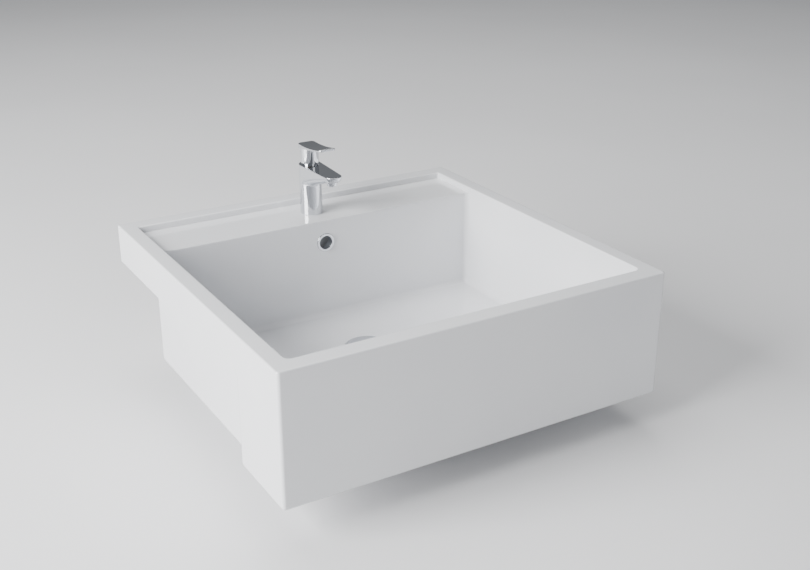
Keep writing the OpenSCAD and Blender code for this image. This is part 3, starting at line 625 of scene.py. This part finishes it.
# directions round the axis, measured from the front, close together where the nose is
def noseDirections(s):
    directions = []
    for degrees in range(0, 97, s["noseStep"]):
        t = math.radians(degrees)
        across, ahead = s["noseRadius"] * math.sin(t), s["noseReach"] + s["noseRadius"] * math.cos(t)
        directions.append(math.atan2(across, ahead))
    step = math.radians(0.5)
    while directions[-1] + step < math.pi:
        directions.append(directions[-1] + step)
        step = min(step * 1.25, math.radians(s["widestStep"]))
    directions.append(math.pi)
    return directions


# half the width of the spout's plan at a distance in front of the axis
def planHalf(ahead, s):
    tilt = math.asin((s["column"] - s["noseRadius"]) / s["noseReach"])
    share = min(max((ahead - s["column"] * math.sin(tilt)) / s["noseReach"], 0), 1)
    return (s["column"] + (s["noseRadius"] - s["column"]) * share) * math.cos(tilt)


# height of the underside below a point of the plan, or nothing when the point is outside the plan
def underside(across, ahead, s):
    if ahead > s["noseReach"]:
        half = s["noseRadius"]
        inside = half - math.hypot(across, ahead - s["noseReach"])
    else:
        half = planHalf(ahead, s)
        inside = half - abs(across)
    if inside <= 0:
        return None
    keel = min(s["root"] + (ahead - s["column"]) * s["keelRise"], s["keelLevel"])
    deep = max(s["bellyDeep"] - max(ahead - 30, 0) * s["bellyFall"], s["bellyLeast"])
    out = 1 - min(inside / half, 1)
    return keel + deep * (1 - math.sqrt(1 - out * out))


# how far the body reaches in a direction at a height
def bodyReach(direction, height, s):
    low, high = 0, s["noseReach"] + s["noseRadius"] + 1
    for _ in range(40):
        middle = (low + high) / 2
        if underside(middle * math.sin(direction), middle * math.cos(direction), s) is None:
            high = middle
        else:
            low = middle
    plan = max(low, s["column"]) if math.cos(direction) > 0 else s["column"]
    if plan <= s["column"]:
        return s["column"]
    low, high = 0, plan
    for _ in range(40):
        middle = (low + high) / 2
        under = underside(middle * math.sin(direction), middle * math.cos(direction), s)
        if under is None or under > height:
            high = middle
        else:
            low = middle
    blend = max(s["rootBlend"] - abs(low - s["column"]), 0) / s["rootBlend"]
    return min(max(low, s["column"]) + blend * blend * s["rootBlend"] / 4, plan)


def buildTapBody(s):
    half = noseDirections(s)
    directions = half + [2 * math.pi - t for t in half[-2:0:-1]]
    zero = axisTap.z
    body = addPillar("mixer_body_cast", s["column"], zero, zero + 6, (0, axisTap.y), len(directions))
    # the drum's own corners are set to those directions, then each slice is drawn up and set again
    mesh = body.data
    turnAt = {}
    count = len(directions)
    for vertex in mesh.vertices:
        x, y = vertex.co.x / mm, vertex.co.y / mm - axisTap.y
        index = round((math.atan2(x, -y) % (2 * math.pi)) / (2 * math.pi) * count) % count
        turnAt[vertex.index] = directions[index]
    for index, turn in turnAt.items():
        vertex = mesh.vertices[index]
        vertex.co.x = s["column"] * math.sin(turn) * mm
        vertex.co.y = (axisTap.y - s["column"] * math.cos(turn)) * mm
    heights = [20, 34, 44] + [46 + 0.8 * i for i in range(30)] + [70.4 + 0.4 * i for i in range(13)]
    heights += [76 + 0.8 * i for i in range(8)] + [s["top"]]
    before = 6
    ringTurns = {(round(v.co.x / mm, 2), round(v.co.y / mm, 2)): turnAt[v.index] for v in mesh.vertices}
    for height in heights:
        pickFaces(body, lambda c, n: n.z > 0.9 and c.z > zero + before - 0.01)
        bpy.ops.mesh.extrude_region_move(TRANSFORM_OT_translate={"value": (0, 0, (height - before) * mm)})
        bpy.ops.object.mode_set(mode="OBJECT")
        nextTurns = {}
        for vertex in body.data.vertices:
            if near(vertex.co.z / mm, zero + height, 0.01):
                turn = ringTurns[(round(vertex.co.x / mm, 2), round(vertex.co.y / mm, 2))]
                side = turn if turn <= math.pi else 2 * math.pi - turn
                reach = bodyReach(side, height, s)
                vertex.co.x = reach * math.sin(turn) * mm
                vertex.co.y = (axisTap.y - reach * math.cos(turn)) * mm
                nextTurns[(round(vertex.co.x / mm, 2), round(vertex.co.y / mm, 2))] = turn
        ringTurns = nextTurns
        before = height
    roundEdges(body, lambda a, b: near(a.z, zero + s["top"]) and near(b.z, zero + s["top"]), s["topEdge"], 4)
    roundEdges(body, lambda a, b: near(a.z, zero) and near(b.z, zero), s["baseEdge"], 4)

    nose = axisTap.y - s["outletReach"]
    edge = s["bossEdge"]
    bossOutline = [(0, s["outlet"]), (s["boss"] - edge, s["outlet"]),
                   (s["boss"] - edge * 0.3, s["outlet"] + edge * 0.3),
                   (s["boss"], s["outlet"] + edge), (s["boss"], s["bossTop"]), (0, s["bossTop"])]
    boss = turned("boss", raised(bossOutline, zero), (0, nose))
    spigot = addPillar("spigot", s["spigot"], zero - s["spigotDeep"], zero + 1, (0, axisTap.y))
    combine(body, "UNION", boss, spigot)
    cavityOutline = [(0, s["seat"]), (s["seatRadius"], s["seat"]), (s["seatRadius"], s["nutSeat"]),
                     (s["nutThread"], s["nutSeat"]), (s["nutThread"], s["top"] - 0.4),
                     (s["nutThread"] + 0.4, s["top"]), (s["nutThread"] + 0.4, s["top"] + 2),
                     (0, s["top"] + 2)]
    cavity = turned("cavity", raised(cavityOutline, zero), (0, axisTap.y))
    outletOutline = [(0, s["outlet"] - 8), (s["collarRoom"], s["outlet"] - 8),
                     (s["collarRoom"], s["outlet"]), (s["collarThread"], s["outlet"]),
                     (s["collarThread"], s["washerTop"]), (s["chamber"], s["washerTop"]),
                     (s["chamber"], s["chamberTop"]), (0, s["chamberTop"])]
    outlet = turned("outlet", raised(outletOutline, zero), (0, nose))
    groove = turned("groove", raised([(s["sealIn"], -1), (s["sealOut"], -1), (s["sealOut"], s["sealDeep"]),
                                      (s["sealIn"], s["sealDeep"])], zero), (0, axisTap.y), closed=True)
    inlets = [addPillar("inlet", s["inletRadius"], zero - s["spigotDeep"] - 1, zero + s["inletTop"],
                        (side * s["inletX"], axisTap.y + s["inletY"]), 48) for side in (-1, 1)]
    stud = addPillar("studHole", s["studRadius"], zero - s["spigotDeep"] - 1, zero + s["inletTop"],
                     (0, axisTap.y + s["studY"]), 48)
    combine(body, "DIFFERENCE", cavity, outlet, groove, stud, *inlets)
    return finishPiece(body, "fixed", "chrome", materials["chrome"], "tap_body", angle=38)


tapBody = buildTapBody(tapSet)
print("mixer body done,", len(tapBody.data.polygons), "faces")

# the ring nut that holds the cartridge, seen in the gap below the handle
nutSet = {"bore": 9, "thread": 14, "low": 74.2, "top": 82.5, "collar": 12.4, "collarTop": 84.8, "edge": 0.5,
          "inner": 11.55, "innerTop": 76.5}


def buildRetainingNut(s):
    outline = ([(s["inner"], s["low"]), (s["thread"], s["low"]), (s["thread"], s["top"]),
                (s["collar"], s["top"])]
               + arcPoints((s["collar"] - s["edge"], s["collarTop"] - s["edge"]), s["edge"], 0, 90, 4)
               + arcPoints((s["bore"] + s["edge"], s["collarTop"] - s["edge"]), s["edge"], 90, 180, 4)
               + [(s["bore"], s["innerTop"]), (s["inner"], s["innerTop"])])
    nut = turned("retaining_nut_turned", raised(outline, axisTap.z), (0, axisTap.y), 96, closed=True)
    return finishPiece(nut, "fixed", "chrome", materials["chrome"], "retaining_nut", angle=40)


buildRetainingNut(nutSet)

collarSet = {"bore": 6, "outer": 8, "low": -4.5, "edge": 0.7, "boreEdge": 0.4, "thread": 7.5, "threadHigh": 4,
             "pitch": 1.0, "threadDeep": 0.5}


def buildAeratorCollar(s):
    thread = threadPoints(s["thread"], s["threadHigh"] - 0.3, 0.3, s["pitch"], s["threadDeep"])
    outline = (arcPoints((s["bore"] + s["boreEdge"], s["low"] + s["boreEdge"]), s["boreEdge"], 180, 270, 4)
               + arcPoints((s["outer"] - s["edge"], s["low"] + s["edge"]), s["edge"], -90, 0, 5)
               + [(s["outer"], 0), (s["thread"] - s["threadDeep"], 0)] + thread[::-1]
               + [(s["thread"] - 0.4, s["threadHigh"]), (s["bore"], s["threadHigh"])])
    collar = turned("aerator_collar_turned", raised(outline, axisTap.z + tapSet["outlet"]),
                    (0, axisTap.y - tapSet["outletReach"]), 96, closed=True)
    return finishPiece(collar, "fixed", "chrome", materials["chrome"], "aerator_collar", angle=40)


buildAeratorCollar(collarSet)

fixingNutSet = {"flats": 13, "low": axisTap.z - 23.3, "high": axisTap.z - 16.8, "bore": 4.05, "flare": 0.5,
                "at": (0, axisTap.y + 10)}
buildNut("fixing_nut_milled", fixingNutSet, "brass", "fixing_nut")

studSet = {"radius": 4, "low": -47, "high": 7, "pitch": 1.25, "deep": 0.6}


def buildStud(s):
    thread = threadPoints(s["radius"], s["high"] - 0.5, s["low"] + 0.5, s["pitch"], s["deep"])
    outline = ([(0, s["low"]), (s["radius"] - s["deep"], s["low"])] + thread[::-1]
               + [(s["radius"] - s["deep"], s["high"]), (0, s["high"])])
    stud = turned("fixing_stud_rolled", raised(outline, axisTap.z), (0, axisTap.y + 10), 48)
    return finishPiece(stud, "fixed", "steel", materials["steel"], "fixing_stud", angle=25)


buildStud(studSet)
print("mixer's fittings done")

# the handle: a lever plate with a dished top, cast in one with its round skirt
handleSet = {
    "half": 14.5, "front": -66, "back": 14.75, "corner": 6, "under": 106, "slope": 8.8, "top": 114.6,
    "topArc": 298, "slices": 27, "edge": 0.7, "skirt": 14.75, "skirtIn": 12.9, "skirtLow": 85.2, "lip": 0.35,
    "cavityTop": 103.6, "socket": 6.2, "socketLow": 90, "squareHalf": 3.05, "squareTop": 103.2,
    "screw": 96.5, "screwBore": 2.55, "screwBoss": 4.6, "cover": 3.25, "coverY": 13.25,
    "pivot": 76, "tilt": 22, "heelTop": 6.9}


# a round bar along the depth axis
def addBar(name, radius, start, end, height, sides=64):
    bar = addPillar(name, radius, start, end, sides=sides)
    return placeAt(bar, (0, axisTap.y, height), turnX=-90)


def buildHandle(s):
    zero = axisTap.z
    plate = addBlock("lever_cast", (-s["half"], axisTap.y + s["front"], zero + s["under"]),
                     (s["half"], axisTap.y + s["back"], zero + s["top"]))
    roundEdges(plate, isUpright, s["corner"], 12)
    makeActive(plate)
    bpy.ops.object.mode_set(mode="EDIT")
    for i in range(1, s["slices"]):
        cut = s["front"] + (s["back"] - s["front"]) * i / s["slices"]
        bpy.ops.mesh.select_all(action="SELECT")
        bpy.ops.mesh.bisect(plane_co=(0, (axisTap.y + cut) * mm, 0), plane_no=(0, 1, 0))
    bpy.ops.object.mode_set(mode="OBJECT")
    slope = math.tan(math.radians(s["slope"]))
    for vertex in plate.data.vertices:
        y = vertex.co.y / mm - axisTap.y
        if vertex.co.z / mm > zero + s["top"] - 0.1:
            vertex.co.z = (zero + s["top"] + s["topArc"] - math.sqrt(s["topArc"] ** 2 - y * y)) * mm
        else:
            vertex.co.z = (zero + s["under"] + (s["back"] - y) * slope) * mm
    roundSharp(plate, s["edge"], 4, 50)
    lip = s["lip"]
    outline = ([(0, s["top"] - 3), (s["skirt"], s["top"] - 3)]
               + arcPoints((s["skirt"] - lip, s["skirtLow"] + lip), lip, 0, -90, 4)
               + arcPoints((s["skirtIn"] + lip, s["skirtLow"] + lip), lip, -90, -180, 4)
               + arcPoints((s["skirtIn"] - 1, s["cavityTop"] - 1), 1, 0, 90, 4)
               + [(s["socket"], s["cavityTop"]), (s["socket"], s["socketLow"]), (0, s["socketLow"])])
    skirt = turned("skirt", raised(outline, zero), (0, axisTap.y), 128)
    screwBoss = addBar("screwBoss", s["screwBoss"], 0, s["skirtIn"] + 0.5, zero + s["screw"])
    combine(plate, "UNION", skirt, screwBoss)
    square = addBlock("square", (-s["squareHalf"], axisTap.y - s["squareHalf"], zero + s["socketLow"] - 2),
                      (s["squareHalf"], axisTap.y + s["squareHalf"], zero + s["squareTop"]))
    heel = placeAt(addBlock("heel", (-30, 0, -30), (30, 30, s["heelTop"])), (0, axisTap.y, zero + s["pivot"]),
                   turnX=s["tilt"])
    screwBore = addBar("screwBore", s["screwBore"], 0, s["skirt"] + 1, zero + s["screw"])
    coverSeat = addBar("coverSeat", s["cover"], s["coverY"], s["skirt"] + 1, zero + s["screw"])
    combine(plate, "DIFFERENCE", square, screwBore, coverSeat, heel)
    return finishPiece(plate, "lever", "chrome", materials["chrome"], "handle", angle=38)


handle = buildHandle(handleSet)
print("handle done,", len(handle.data.polygons), "faces")

coverSet = {"radius": 3.2, "low": 13.25, "high": 14.45, "edge": 0.3}


def buildScrewCover(s):
    outline = ([(0, s["low"]), (s["radius"], s["low"])]
               + arcPoints((s["radius"] - s["edge"], s["high"] - s["edge"]), s["edge"], 0, 90, 4)
               + [(0, s["high"])])
    cover = placeAt(turned("screw_cover_moulded", outline, steps=64),
                    (0, axisTap.y, axisTap.z + handleSet["screw"]), turnX=-90)
    return finishPiece(cover, "lever", "indicator", materials["indicator"], "screw_cover", angle=50)


buildScrewCover(coverSet)

# stage, light and camera

deselectAll()
bpy.ops.mesh.primitive_plane_add(size=14, location=(0, 0, cadBounds[0].z - 0.0005))
floor = bpy.context.object
floor.name = "floor"
floorMaterial, floorTree, floorShader, floorPlace = startMaterial("paleFloor", "#ECECED", Roughness=0.55)
driftColour(floorTree, floorShader, floorPlace, 900, "#EAEAEB", "#EEEEEF")
floor.data.materials.append(floorMaterial)

lightSet = {
    "left": {"at": (-2.7, -0.5, 1.25), "size": 1.9, "watts": 240},
    "top": {"at": (0.2, 0.9, 3.4), "size": 3.2, "watts": 92},
    "front": {"at": (1.3, -3.1, 1.6), "size": 1.6, "watts": 8}}


def addSoftbox(name, s):
    target = Vector((0, -0.3, 0))
    bpy.ops.object.light_add(type="AREA", location=s["at"])
    light = bpy.context.object
    light.name = name
    light.data.shape = "SQUARE"
    light.data.size = s["size"]
    light.data.energy = s["watts"]
    light.rotation_euler = (target - light.location).to_track_quat("-Z", "Y").to_euler()


for name, settings in lightSet.items():
    addSoftbox(name, settings)

world = bpy.data.worlds.new("studio")
bpy.context.scene.world = world
world.use_nodes = True
world.node_tree.nodes["Background"].inputs["Color"].default_value = linear("#C9CCD0")
world.node_tree.nodes["Background"].inputs["Strength"].default_value = 0.34

cameraSet = {"at": (-0.778, -1.6676, 0.6704), "tilt": 67.03, "turn": -30.88, "lens": 50.95}
bpy.ops.object.camera_add(location=cameraSet["at"],
                          rotation=(math.radians(cameraSet["tilt"]), 0, math.radians(cameraSet["turn"])))
camera = bpy.context.object
camera.data.lens = cameraSet["lens"]
camera.data.sensor_width = 36
bpy.context.scene.camera = camera

# the CAD nodes that stay get their own finish
record = frame["record"]
slotOf = {part["node"]: part["material_slot"] for part in record["subparts"]}
for nodeName, node in frame["nodes"].items():
    node.data.materials.clear()
    node.data.materials.append(materials[slotOf[nodeName]])
print("stage and light done")
